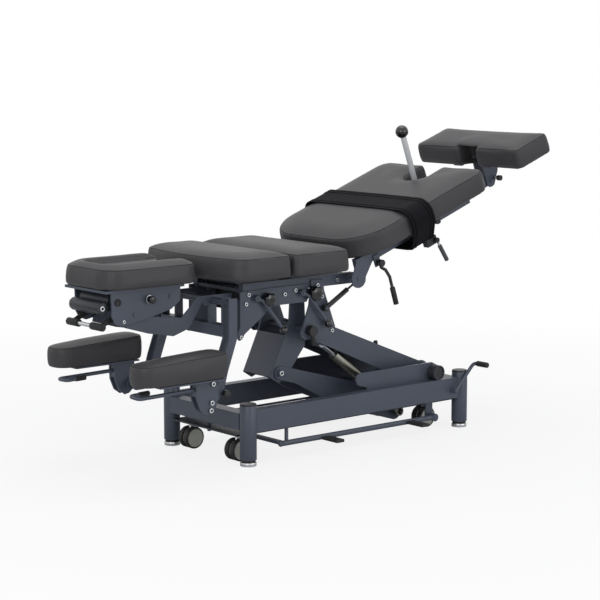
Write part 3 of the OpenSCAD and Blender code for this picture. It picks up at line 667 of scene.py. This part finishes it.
def face_trough(piece):
    """The face rests in a trough that runs to the chest end and fades at its rounded borders."""
    for vertex in piece.data.vertices:
        x, y, z = (vertex.co.x - SHIFT) * 1000, abs(vertex.co.y * 1000), vertex.co.z * 1000
        if z > HEAD_TOP_STARTS:
            dx, dy = max(0, TROUGH_END_X - x), max(0, y - TROUGH_HALF)
            inside = TROUGH_BORDER - math.hypot(dx, dy)
            share = min(1, max(0, inside / TROUGH_FADE))
            vertex.co.z -= TROUGH_DEPTH * share * share * (3 - 2 * share)


SEAT_BASE, SLOPE_BASE, HEAD_BASE = at(0, 0, 657), on_leg(0, 0, 70), at(0, 0, 652)  # undersides
SEAT_SEAM, HEAD_SEAM = 0.0785, 0.0685  # heights of the seams above them
cushion("chest_cushion", "chest_pad", "chest", UP, SEAT_BASE, SEAT_SEAM, 0.008)
cushion("lumbar_cushion", "lumbar_pad", "lumbar", UP, SEAT_BASE, SEAT_SEAM, 0.008)
leg_pad = cushion("leg_cushion", "leg_pad", "leg", LEG_UP, SLOPE_BASE, SEAT_SEAM, 0.01)
cushion("foot_cushion", "foot_pad", "foot", LEG_UP, SLOPE_BASE, SEAT_SEAM, 0.008)
cushion("head_cushion", "head_pad", "head", UP, HEAD_BASE, HEAD_SEAM, 0.0065, trough=face_trough)

# %% [markdown]
# The armrests grow thicker toward the elbow, so their seam slopes with their top.

# %% Armrest pads
ARM_TILT = Vector((-16 / 376, 0, 1)).normalized()  # 16 mm of rise over 376 mm
ARM_BASE, ARM_SEAM = at(-1030, 0, 340), 0.0705
for side in ("front", "rear"):
    node = "armrest_cushion_" + side
    cushion(node, side + "_arm_pad", "armrest_" + side, UP, ARM_BASE, ARM_SEAM, 0.007, ARM_TILT)

# %% [markdown]
# ## The leg strap
# The strap is a double layer of wide webbing that goes round the cushion and under the rails to its buckle.
# A flat grid is laid along the way it takes. Above the rails each point is dropped onto the cushion's real
# surface, so that the webbing lies on the vinyl however the foam has swelled.

# %% Way round the cushion
BEND_Y, BEND_V, BEND_RADIUS = 246, 114, 53  # of the cushion's top edge, seen along the leg section
BEND = [
    (BEND_Y + BEND_RADIUS * math.sin(math.radians(a)), BEND_V + BEND_RADIUS * math.cos(math.radians(a)))
    for a in range(0, 91, 10)
]
DOWN_TO_RAILS = [(299, 98), (296, 84), (288, 70), (263, 17), (235, 14), (0, 14)]  # y and v
HALF_WAY = [(0, 166.5), (200, 167)] + BEND + DOWN_TO_RAILS
whole_way = [(-y, v) for y, v in reversed(HALF_WAY)] + HALF_WAY[1:]
STEP = 7


def spaced(points, step):
    """Points along a line, at even steps of about the given length on each of its straight parts."""
    out = []
    for (y0, v0), (y1, v1) in zip(points, points[1:]):
        length = math.hypot(y1 - y0, v1 - v0)
        count = max(1, round(length / step))
        for i in range(count):
            t = i / count
            out.append((y0 + (y1 - y0) * t, v0 + (v1 - v0) * t))
    return out


def outward(ring, i):
    """The way square to the ring at its point i, pointing out of it."""
    before, after = ring[i - 1], ring[(i + 1) % len(ring)]
    dy, dv = after[0] - before[0], after[1] - before[1]
    length = math.hypot(dy, dv)
    return -dv / length, dy / length


ring = spaced(whole_way, STEP)

# %% [markdown]
# The grid's rows follow that ring, and its first and last row meet and are joined. Solidify gives the
# webbing its thickness. Four narrow bands on top of it are its bound edges.

# %% Laying a band on the cushion
CUSHION_STARTS, RAILS_END = 74, 72  # heights in millimetres, square to the leg section
RAY_FROM, RAY_LENGTH = 0.03, 0.06
UNDER_RAILS = 0.001  # the band hangs this much further out below the rails' tops


def lay_band(name, u0, u1, lift, thick, columns):
    """A band from u0 to u1 along the leg section, lifted off the cushion, with its thickness outside."""
    surface = BVHTree.FromObject(leg_pad, bpy.context.evaluated_depsgraph_get())
    deselect()
    rows = len(ring)
    bpy.ops.mesh.primitive_grid_add(x_subdivisions=columns, y_subdivisions=rows, size=2)
    band = bpy.context.object
    band.name = name
    for vertex in band.data.vertices:
        i = round((vertex.co.y + 1) / 2 * rows) % rows
        u = u0 + (u1 - u0) * (vertex.co.x + 1) / 2
        y, v = ring[i]
        ny, nv = outward(ring, i)
        place = on_leg(u, y, v)
        out = on_leg(u, y + ny, v + nv) - place
        out.normalize()
        gap = lift
        if v > CUSHION_STARTS:
            hit = surface.ray_cast(place + out * RAY_FROM, -out, RAY_LENGTH)
            if hit[0] is not None and (hit[0] - place).dot(out) > 0:
                place = hit[0]
        elif v < RAILS_END:
            gap = lift + UNDER_RAILS
        vertex.co = place + out * gap
    work_on(band)
    bpy.ops.object.mode_set(mode="EDIT")
    bpy.ops.mesh.select_all(action="SELECT")
    bpy.ops.mesh.remove_doubles(threshold=SAME_POINT)
    bpy.ops.object.mode_set(mode="OBJECT")
    top = max(band.data.polygons, key=lambda f: (f.center - on_leg(0, 0, 0)).dot(LEG_UP))
    if top.normal.dot(LEG_UP) < 0:
        bpy.ops.object.mode_set(mode="EDIT")
        bpy.ops.mesh.flip_normals()
        bpy.ops.object.mode_set(mode="OBJECT")
    shell = band.modifiers.new("thickness", "SOLIDIFY")
    shell.thickness = thick
    shell.offset = 1
    bpy.ops.object.modifier_apply(modifier="thickness")
    return band


STRAP_FROM, STRAP_TO = 240, 355
STRAP_LIFT, STRAP_THICK, STRAP_COLUMNS = 0.0008, 0.0026, 12
EDGE_WIDTH = 9
EDGE_LIFT, EDGE_THICK, EDGE_COLUMNS = 0.0035, 0.0016, 2
strap = lay_band("leg_strap_webbing", STRAP_FROM, STRAP_TO, STRAP_LIFT, STRAP_THICK, STRAP_COLUMNS)
finish_piece(strap, webbing, "leg")
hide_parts("leg_strap")
for n, u in enumerate((STRAP_FROM, STRAP_TO - EDGE_WIDTH, 254, 332), 1):
    edge = lay_band("strap_edge_%d" % n, u, u + EDGE_WIDTH, EDGE_LIFT, EDGE_THICK, EDGE_COLUMNS)
    finish_piece(edge, binding, "leg")
print("strap laid:", len(strap.data.polygons), "faces")

# %% [markdown]
# ## Knobs and screws
# A clamping knob is moulded with lobes that the fingers fit between. A plain cylinder gets its lobes by
# pulling in the points between them, a domed face by insetting it, and soft edges by a bevel.

# %% Lobed knobs
VALLEY = 0.08  # depth of the hollow between two lobes, as a share of the radius
ROUNDNESS = 1.4  # the higher, the broader the lobes and the narrower the hollows
DOME = [(0.2, 0.14), (0.3, 0.07)]  # steps inwards and outwards, as shares of the radius and the depth
SOFT_EDGE = 0.09  # of knobs and screws, as a share of the radius
POINTS_PER_LOBE = 8


def lobed_knob(name, radius, depth, lobes):
    deselect()
    bpy.ops.mesh.primitive_cylinder_add(
        vertices=lobes * POINTS_PER_LOBE, radius=radius, depth=depth, rotation=(math.pi / 2, 0, 0)
    )
    piece = bpy.context.object
    piece.name = name
    bpy.ops.object.transform_apply(location=True, rotation=True, scale=True)
    for vertex in piece.data.vertices:
        turn = math.atan2(vertex.co.z, vertex.co.x)
        pull = 1 - VALLEY * (0.5 - 0.5 * math.cos(lobes * turn)) ** ROUNDNESS
        vertex.co.x *= pull
        vertex.co.z *= pull
    pick_faces(piece, lambda face: face.normal.y < -0.9)
    for inwards, outwards in DOME:
        bpy.ops.mesh.inset(thickness=radius * inwards, depth=depth * outwards)
    bpy.ops.object.mode_set(mode="OBJECT")
    round_edges(piece, radius * SOFT_EDGE)
    return piece


def place_copy(pattern, name, place, flip=False):
    piece = pattern.copy()
    piece.data = pattern.data.copy()
    piece.name = name
    bpy.context.scene.collection.objects.link(piece)
    piece.matrix_world = Matrix.Translation(place) @ Matrix.Rotation(math.pi if flip else 0, 4, "Z")
    work_on(piece)
    bpy.ops.object.transform_apply(location=True, rotation=True, scale=True)
    return piece


def join_pieces(pieces, name):
    deselect()
    for piece in pieces:
        piece.select_set(True)
    bpy.context.view_layer.objects.active = pieces[0]
    bpy.ops.object.join()
    pieces[0].name = name


def knob_at(name, node, place, radius, depth, lobes, body):
    piece = lobed_knob(name, radius, depth, lobes)
    piece.location = place
    finish_piece(piece, black_phenolic, body)
    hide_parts(node)


knob_at("chest_tension_knob", "chest_knob", at(-379, -165, 570), 0.025, 0.026, 7, "chest_knob")
knob_at("lumbar_tension_knob", "lumbar_knob", at(-163, -166, 573), 0.028, 0.028, 7, "lumbar_knob")
knob_at("head_clamp_knob", "head_knob", at(-863, -131, 610), 0.0135, 0.017, 3, "head_knob")
arm_knob = lobed_knob("arm_knob", 0.0145, 0.016, 6)
for name, y, flip in (("front_arm_knob", -227, False), ("rear_arm_knob", 227, True)):
    placed = place_copy(arm_knob, name, at(-620, y, 268), flip)
    finish_piece(placed, black_nylon, "top_frame")
bpy.data.objects.remove(arm_knob)
print("knobs made")

# %% [markdown]
# The plates are joined by zinc-plated cap screws. One is made, with its socket sunk into the head, and a
# copy goes to every place where the frame has a plain bolt or the photograph shows one. A washer and a
# round plug are made the same way.

# %% Cap screws
SOCKET_WALL, SOCKET_DEPTH = 0.48, 0.6  # shares of the head's radius and of its height
SOCKET = 0.53  # radius within which a face lies in the socket, as a share of the head's
SUNK = 0.0004  # how much deeper than the head's own face it lies, at least


def cap_screw(name, radius, height):
    deselect()
    bpy.ops.mesh.primitive_cylinder_add(
        vertices=24, radius=radius, depth=height, rotation=(math.pi / 2, 0, 0)
    )
    piece = bpy.context.object
    piece.name = name
    bpy.ops.object.transform_apply(location=True, rotation=True, scale=True)
    pick_faces(piece, lambda face: face.normal.y < -0.9)
    bpy.ops.mesh.inset(thickness=radius * SOCKET_WALL, depth=0)
    bpy.ops.mesh.extrude_region_move(TRANSFORM_OT_translate={"value": (0, height * SOCKET_DEPTH, 0)})
    bpy.ops.object.mode_set(mode="OBJECT")
    round_edges(piece, radius * SOFT_EDGE, 2)
    return piece


def screw_row(name, radius, height, spots, outside, body):
    """Screws on both sides of the table, as one piece.

    Each spot is x and z, and outside is how far out the heads reach, all in millimetres."""
    pattern = cap_screw("screw", radius, height)
    made = []
    for i, (x, z) in enumerate(spots):
        for y, flip in ((-outside + height * 500, False), (outside - height * 500, True)):
            made.append(place_copy(pattern, "%s_%d" % (name, i), at(x, y, z), flip))
    bpy.data.objects.remove(pattern)
    join_pieces(made, name)

    def sunk(face):
        return abs(face.center.y) < outside / 1000 - SUNK and any(
            (face.center - at(x, face.center.y * 1000, z)).length < radius * SOCKET for x, z in spots
        )

    return finish_piece(made[0], zinc_plate, body, 40, black_nylon, sunk)


PLATE_SPOTS = [
    (-460, 592), (-472, 560), (-244, 590), (-295, 580), (-495, 444), (-119, 557), (-70.1, 426.6), (-140, 600),
]
EAR_SPOTS = [(-706, 319), (-712, 254), (-716, 228)]
plate_screws = screw_row("plate_screws", 0.0072, 0.006, PLATE_SPOTS, 157, "top_frame")
screw_row("rail_screws", 0.0072, 0.007, [(-40, 611), (24, 611)], 152, "top_frame")
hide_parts("frame_bolts")
screw_row("head_screws", 0.006, 0.004, [(-966, 541)], 116, "head")
screw_row("head_washers", 0.0145, 0.0045, [(-863, 610)], 120.5, "head")
plugs = screw_row("head_plugs", 0.0125, 0.005, [(-990, 609)], 117, "head")
plugs.data.materials[0] = soft_rubber
for side in ("front", "rear"):
    row = screw_row("ear_screws_" + side, 0.0085, 0.005, EAR_SPOTS, 270, "armrest_" + side)
    pick_faces(row, lambda face: (face.center.y > 0) == (side == "front"))
    bpy.ops.mesh.delete(type="FACE")
    bpy.ops.object.mode_set(mode="OBJECT")
screw_row("pad_bar_screws", 0.009, 0.005, [(-1038, 590)], 94.5, "head")
print("cap screws placed")

# %% [markdown]
# ## Castors
# Each castor has two thin wheels on one axle, with a black tyre moulded onto a grey disc. The disc sits a
# little deeper than the tyre, which shows as a dark ring round it.

# %% Twin castor wheels
WHEEL_RADIUS, WHEEL_WIDTH, TREAD_EDGE = 0.04, 0.02, 0.003
TYRE_SIDE = 0.0035  # width of the flat ring of tyre on each side
STEP_WIDTH, STEP_DOWN = 0.0006, 0.0016  # from the tyre to the disc
DISH_WIDTH, DISH_RISE = 0.012, 0.0008  # the disc rises a little toward its middle
DISC_RADIUS = 0.0332
AXLE_HEIGHT = 40  # above the floor, in millimetres
APART = 16  # how far each wheel's middle is from its castor's
CASTORS = [(-501, -136), (-501, 136), (415, -136), (415, 136)]


def castor_wheel():
    deselect()
    bpy.ops.mesh.primitive_cylinder_add(
        vertices=56, radius=WHEEL_RADIUS, depth=WHEEL_WIDTH, rotation=(math.pi / 2, 0, 0)
    )
    wheel = bpy.context.object
    wheel.name = "wheel"
    bpy.ops.object.transform_apply(location=True, rotation=True, scale=True)
    round_edges(wheel, TREAD_EDGE)
    for side in (-1, 1):
        pick_faces(wheel, lambda face: face.normal.y * side > 0.99 and face.area > 0.001)
        bpy.ops.mesh.inset(thickness=TYRE_SIDE, depth=0)
        bpy.ops.mesh.inset(thickness=STEP_WIDTH, depth=-STEP_DOWN)
        bpy.ops.mesh.inset(thickness=DISH_WIDTH, depth=DISH_RISE)
    bpy.ops.object.mode_set(mode="OBJECT")
    return wheel


wheel = castor_wheel()
for number, (x, y) in enumerate(CASTORS, 1):
    pair = [place_copy(wheel, "wheel_part", at(x, y + way, AXLE_HEIGHT)) for way in (-APART, APART)]
    join_pieces(pair, "castor_pair_%d" % number)
    axle = at(x, 0, AXLE_HEIGHT)
    finish_piece(
        pair[0], castor_tyre, "castor_wheels_%d" % number, 35, castor_disc,
        lambda face: math.hypot(face.center.x - axle.x, face.center.z - axle.z) < DISC_RADIUS,
    )
    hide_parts("castor_wheels_%d" % number)
bpy.data.objects.remove(wheel)
print("castors made")

# %% [markdown]
# ## Grips and pads
# Levers and bars have rubber sleeves, and some have a hub or roller of the same round form in painted
# steel. A sleeve is a bevelled cylinder, cut by planes where its grip rings lie, with the points on each
# ring drawn in.

# %% Rubber sleeves
RING_HALF = 0.0012  # half the width of a grip ring
ON_RING = 0.0003
RING_DEPTH = 0.0007
SLEEVE_EDGE = 0.3  # share of a sleeve's radius that its ends are rounded by


def ring_grooves(piece, start, way, places, depth):
    work_on(piece)
    bpy.ops.object.mode_set(mode="EDIT")
    for place in places:
        for offset in (-RING_HALF, 0, RING_HALF):
            bpy.ops.mesh.select_all(action="SELECT")
            bpy.ops.mesh.bisect(plane_co=start + way * (place + offset), plane_no=way)
    bpy.ops.object.mode_set(mode="OBJECT")
    for vertex in piece.data.vertices:
        along = (vertex.co - start).dot(way)
        out = vertex.co - start - way * along
        if any(abs(along - place) < ON_RING for place in places) and out.length > depth * 2:
            vertex.co -= out.normalized() * depth


def sleeve(name, start, end, radius, body, material, places=()):
    """A sleeve from start to end, with a grip ring at each of the places, in metres from its start."""
    deselect()
    way = (end - start).normalized()
    bpy.ops.mesh.primitive_cylinder_add(
        vertices=32, radius=radius, depth=(end - start).length, location=(start + end) / 2,
        rotation=way.to_track_quat("Z", "Y").to_euler(),
    )
    piece = bpy.context.object
    piece.name = name
    bpy.ops.object.transform_apply(location=True, rotation=True, scale=True)
    round_edges(piece, radius * SLEEVE_EDGE)
    ring_grooves(piece, start, way, places, RING_DEPTH)
    return finish_piece(piece, material, body)


LEVER_ROOT, LEVER_TIP = on_leg(371, -268.5, -28), on_leg(389, -268.5, -98)
LEVER_RINGS = [0.012, 0.02, 0.028, 0.036]
sleeve("buckle_lever_sleeve", LEVER_ROOT, LEVER_TIP, 0.0082, "strap_lever", sleeve_rubber, LEVER_RINGS)
print("lever sleeve made")

# %% [markdown]
# Round bar is bent cold over a former, so it has no sharp corner. A curve gets a rounded corner at each
# bend and a round section, and is then made a mesh. The armrest loops and the crank are made of it, and
# the rest of each armrest bracket is a copy of the frame's part without its plain loop.

# %% Bent round bar
BEND_STEPS = 8


def bent_bar(name, points, radius, bend=0.016):
    """A round bar through the points, each corner rounded from a bend's length before it to one after."""
    deselect()
    path = [points[0]]
    for before, corner, after in zip(points, points[1:], points[2:]):
        start = corner + (before - corner).normalized() * bend
        end = corner + (after - corner).normalized() * bend
        for i in range(BEND_STEPS + 1):
            t = i / BEND_STEPS
            path.append(start * (1 - t) ** 2 + corner * 2 * t * (1 - t) + end * t * t)
    path.append(points[-1])
    curve = bpy.data.curves.new(name, "CURVE")
    curve.dimensions = "3D"
    line = curve.splines.new("POLY")
    line.points.add(len(path) - 1)
    for point, place in zip(line.points, path):
        point.co = (*place, 1)
    curve.bevel_depth = radius
    curve.bevel_resolution = 6
    curve.use_fill_caps = True
    bar = bpy.data.objects.new(name, curve)
    bpy.context.scene.collection.objects.link(bar)
    work_on(bar)
    bpy.ops.object.convert(target="MESH")
    bar = bpy.context.object
    bpy.ops.object.mode_set(mode="EDIT")
    bpy.ops.mesh.select_all(action="SELECT")
    bpy.ops.mesh.remove_doubles(threshold=SAME_POINT)
    bpy.ops.mesh.normals_make_consistent(inside=False)
    bpy.ops.object.mode_set(mode="OBJECT")
    return bar


LOOP_CUT, BOARD_CUT = -0.776, -0.951  # where the loop leaves the plates, and where the board above it ends
BOARD_BELOW = 0.3335
LOOP_NEAR, LOOP_FAR = 245, 192  # how far out its two sides run
LOOP_ROUND, GRIP_ROUND = 0.0072, 0.0092
GRIP_RINGS = [0.01, 0.02, 0.03]


def armrest_bracket(side, sign):
    node, body = "armrest_ears_" + side, "armrest_" + side
    plates = copy_of_node(node, body + "_bracket")
    pick_faces(
        plates,
        lambda face: face.center.x < (LOOP_CUT if face.center.z < BOARD_BELOW else BOARD_CUT) + SHIFT,
    )
    bpy.ops.mesh.delete(type="FACE")
    bpy.ops.mesh.select_all(action="SELECT")
    bpy.ops.mesh.fill_holes(sides=0)
    bpy.ops.object.mode_set(mode="OBJECT")
    soften(plates)
    finish_piece(plates, slate_coat, body)
    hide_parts(node)
    near_y, far_y = sign * LOOP_NEAR, sign * LOOP_FAR
    corners = [(-768, near_y, 304), (-1000, near_y, 300), (-1000, far_y, 302), (-925, far_y, 304)]
    loop = bent_bar(body + "_loop", [at(*p) for p in corners], LOOP_ROUND)
    finish_piece(loop, slate_coat, body)
    grip_from, grip_to = at(-965, far_y, 302.9), at(-922, far_y, 304.1)
    sleeve(body + "_grip", grip_from, grip_to, GRIP_ROUND, body, soft_rubber, GRIP_RINGS)


armrest_bracket("front", -1)
armrest_bracket("rear", 1)
print("armrest loops bent")

# %% [markdown]
# The crank that works the castor carriage has a round arm and grip. The headpiece's padded bar gets its
# two rollers, the upper arm its rubber stop, and the lift's link the bolts at its lower pivot.

# %% Crank, rollers and stop
def on_crank_shaft(y):
    return at(464, y, 151)


def on_crank_grip(y):
    return at(560, y, 249)


corners = [on_crank_shaft(-264), on_crank_grip(-264), on_crank_grip(-330)]
crank = bent_bar("crank_bar", corners, 0.0068, 0.02)
finish_piece(crank, slate_coat, "castor_crank")
sleeve("crank_hub", on_crank_shaft(-196), on_crank_shaft(-272), 0.0098, "castor_crank", slate_coat)
sleeve("crank_grip", on_crank_grip(-282), on_crank_grip(-338), 0.0105, "castor_crank", soft_rubber)
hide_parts("castor_crank")
sleeve("arm_stop", at(172, -128, 346), at(170, -128, 360), 0.008, "upper_arm", soft_rubber)
sleeve("pad_roller", at(-1031, -91.5, 590), at(-1031, 91.5, 590), 0.0228, "head", charcoal_coat)
sleeve("pad_drum", at(-984, -85.6, 609), at(-984, 85.6, 609), 0.0289, "head", charcoal_coat)
screw_row("link_bolts", 0.0095, 0.005, [(-264.1, 281)], 101, "top_frame")
print("crank bent, rollers turned")

# %% [markdown]
# The two levers that cock the drop sections are bent round bar too, each with a hub at its pivot and a
# black ball at its end. The ball is turned with a short neck, so its top is cut flat and pulled out.

# %% Cocking levers
CAP_FROM, NECK = 0.84, 0.25  # where the ball's cap begins and its neck's length, as shares of its radius
LEVER_ROUND, LEVER_BEND = 0.0062, 0.012
HUB_RADIUS, BALL_RADIUS = 0.0122, 0.0148


def ball_knob(name, place, back, radius, body):
    deselect()
    bpy.ops.mesh.primitive_uv_sphere_add(segments=32, ring_count=20, radius=radius)
    piece = bpy.context.object
    piece.name = name
    pick_faces(piece, lambda face: face.center.z > radius * CAP_FROM)
    bpy.ops.mesh.extrude_region_move(TRANSFORM_OT_translate={"value": (0, 0, radius * NECK)})
    bpy.ops.transform.resize(value=(1, 1, 0))
    bpy.ops.object.mode_set(mode="OBJECT")
    piece.rotation_euler = back.to_track_quat("Z", "Y").to_euler()
    piece.location = place
    finish_piece(piece, black_phenolic, body)


def cocking_lever(body, pivot, tip):
    x, z = pivot
    start, end = at(x, -165, z), at(tip[0], -172, tip[1])
    elbow = at(x + 24, -168, z - 10)
    bar = bent_bar(body + "_bar", [start, elbow, end], LEVER_ROUND, LEVER_BEND)
    finish_piece(bar, slate_coat, body)
    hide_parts(body)
    hub = sleeve(body + "_hub", at(x, -151.6, z), at(x, -172, z), HUB_RADIUS, body, slate_coat)
    ball_knob(body + "_ball", end, (elbow - end).normalized(), BALL_RADIUS, body)


cocking_lever("chest_lever", (-430, 578), (-314, 454))
cocking_lever("lumbar_lever", (-220, 580), (-103, 457))
print("cocking levers bent")

# %% [markdown]
# Each pedal of the foot bar has a ribbed rubber cover, a bevelled block with grip rings across it.

# %% Pedal covers
PEDAL_SIZE = (0.0375, 0.085, 0.0118)
PEDAL_MIDDLE, PEDAL_ROOT, PEDAL_HEIGHT = 293, 252, 58
PEDAL_RINGS = [0.012 + 0.009 * i for i in range(7)]
PEDAL_RING_DEPTH, PEDAL_EDGE = 0.0009, 0.0035


def pedal_cover(name, x, side):
    deselect()
    middle = at(x, side * PEDAL_MIDDLE, PEDAL_HEIGHT)
    bpy.ops.mesh.primitive_cube_add(size=1, location=middle, scale=PEDAL_SIZE)
    piece = bpy.context.object
    piece.name = name
    bpy.ops.object.transform_apply(location=True, rotation=True, scale=True)
    round_edges(piece, PEDAL_EDGE)
    root = at(x, side * PEDAL_ROOT, PEDAL_HEIGHT)
    ring_grooves(piece, root, Vector((0, side, 0)), PEDAL_RINGS, PEDAL_RING_DEPTH)
    finish_piece(piece, soft_rubber, "foot_bar")


for number, (x, side) in enumerate([(-185, -1), (237, -1), (-185, 1), (237, 1)], 1):
    pedal_cover("pedal_cover_%d" % number, x, side)
print("pedal covers made")

# %% [markdown]
# The last step brings the scene up to date.

# %% Finish
bpy.context.view_layer.update()
